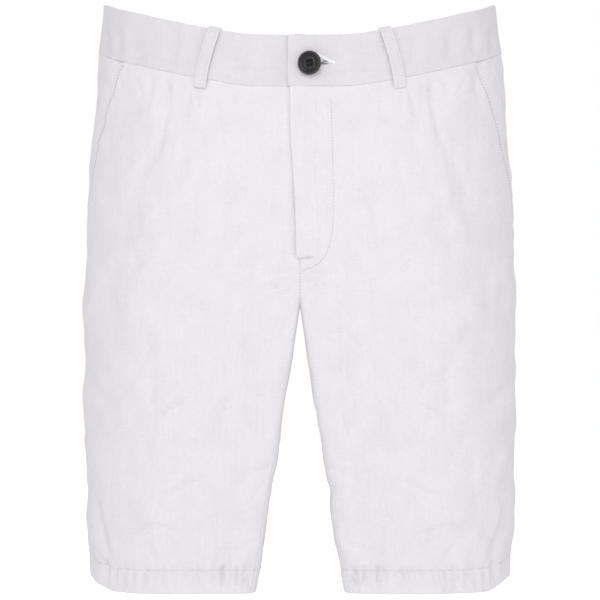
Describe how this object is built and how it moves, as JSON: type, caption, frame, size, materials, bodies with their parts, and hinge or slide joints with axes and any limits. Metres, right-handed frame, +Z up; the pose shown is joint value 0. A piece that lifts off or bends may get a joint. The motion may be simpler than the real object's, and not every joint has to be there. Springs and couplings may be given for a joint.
{
  "type": "bermuda shorts",
  "caption": "Men's knee-length linen bermuda shorts, filled out as worn, with a buttoned waistband, fly, slant pockets and belt loops.",
  "frame": {"origin": "centre of the waist opening, halfway down the waistband at the sides, where the wearer holds it up", "axes": "+Z up out of the waist opening, the front faces -Y, +X is the wearer's left"},
  "size_m": [0.3796, 0.2635, 0.5084],
  "materials": {
    "linen": "slubby plain-weave white linen, matt",
    "button_plastic": "satin charcoal",
    "thread": "matt"
  },
  "bodies": {
    "root": {"front_right": "linen", "front_left": "linen", "back_right": "linen", "back_left": "linen", "waistband_right": "linen", "waistband_left": "linen", "fly_shield": "linen", "pocket_facing_right": "linen", "pocket_facing_left": "linen", "belt_loop_front_right": "linen", "belt_loop_front_left": "linen", "belt_loop_back_right": "linen", "belt_loop_back_left": "linen", "belt_loop_back_centre": "linen", "button": "button_plastic", "button_shank": "thread"}
  },
  "joints": []
}
